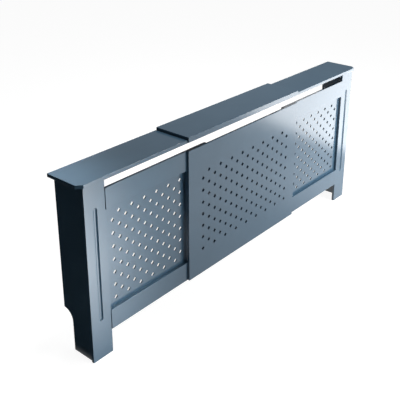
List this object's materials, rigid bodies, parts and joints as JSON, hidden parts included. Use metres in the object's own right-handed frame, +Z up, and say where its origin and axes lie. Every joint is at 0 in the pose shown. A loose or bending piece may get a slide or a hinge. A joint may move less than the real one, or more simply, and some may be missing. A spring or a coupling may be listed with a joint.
{
  "type": "radiator cover cabinet",
  "caption": "Extendable radiator cover cabinet: end units with pierced grilles slide under a centre shelf and behind a pierced centre panel.",
  "frame": {"origin": "on the floor, under the middle of the whole cabinet at the pictured width", "axes": "+X along the wall to the right as seen from the room, +Y towards the wall, +Z up"},
  "size_m": [2.036, 0.1904, 0.815],
  "materials": {
    "painted_board": "satin blue-grey paint on fibreboard",
    "bare_board": "bare fibreboard and plywood",
    "beech": "smooth",
    "zinc_steel": "bright zinc plate"
  },
  "bodies": {
    "left_unit": {"left_post": "painted_board", "left_side_panel": "painted_board", "left_shelf": "painted_board", "left_top_rail": "painted_board", "left_bottom_rail": "painted_board", "left_top_packing": "painted_board", "left_bottom_packing": "painted_board", "left_inner_stile": "painted_board", "left_grille": "painted_board", "left_corner_batten": "bare_board", "left_shelf_batten": "bare_board", "left_dowels": "beech", "left_batten_screws": "zinc_steel", "left_grille_screws": "zinc_steel", "left_clamp_bolts": "zinc_steel", "left_washers": "zinc_steel", "left_wing_nuts": "zinc_steel", "left_wall_bracket": "zinc_steel", "left_bracket_screws": "zinc_steel"},
    "centre_panel_unit": {"centre_panel": "painted_board", "panel_spacer_top": "bare_board", "panel_spacer_bottom": "bare_board", "panel_strip_top": "bare_board", "panel_strip_bottom": "bare_board", "panel_strip_screws": "zinc_steel"},
    "centre_shelf_unit": {"centre_shelf": "painted_board", "centre_shelf_lip": "painted_board", "shelf_spacer": "bare_board", "shelf_strip": "bare_board", "shelf_strip_screws": "zinc_steel"},
    "right_unit": {"right_post": "painted_board", "right_side_panel": "painted_board", "right_shelf": "painted_board", "right_top_rail": "painted_board", "right_bottom_rail": "painted_board", "right_top_packing": "painted_board", "right_bottom_packing": "painted_board", "right_inner_stile": "painted_board", "right_grille": "painted_board", "right_corner_batten": "bare_board", "right_shelf_batten": "bare_board", "right_dowels": "beech", "right_batten_screws": "zinc_steel", "right_grille_screws": "zinc_steel", "right_clamp_bolts": "zinc_steel", "right_washers": "zinc_steel", "right_wing_nuts": "zinc_steel", "right_wall_bracket": "zinc_steel", "right_bracket_screws": "zinc_steel"}
  },
  "joints": [
    {"name": "panel_slide", "type": "slide", "parent": "left_unit", "child": "centre_panel_unit", "axis": [1, 0, 0], "range_m": [-0.27, 0.027]},
    {"name": "right_slide", "type": "slide", "parent": "centre_panel_unit", "child": "right_unit", "axis": [1, 0, 0], "range_m": [-0.284, 0.013]},
    {"name": "shelf_slide", "type": "slide", "parent": "left_unit", "child": "centre_shelf_unit", "axis": [1, 0, 0], "range_m": [-0.27, 0.027]}
  ],
  "couplings": [
    {"joint": "shelf_slide", "follows": "panel_slide", "ratio": 1}
  ]
}
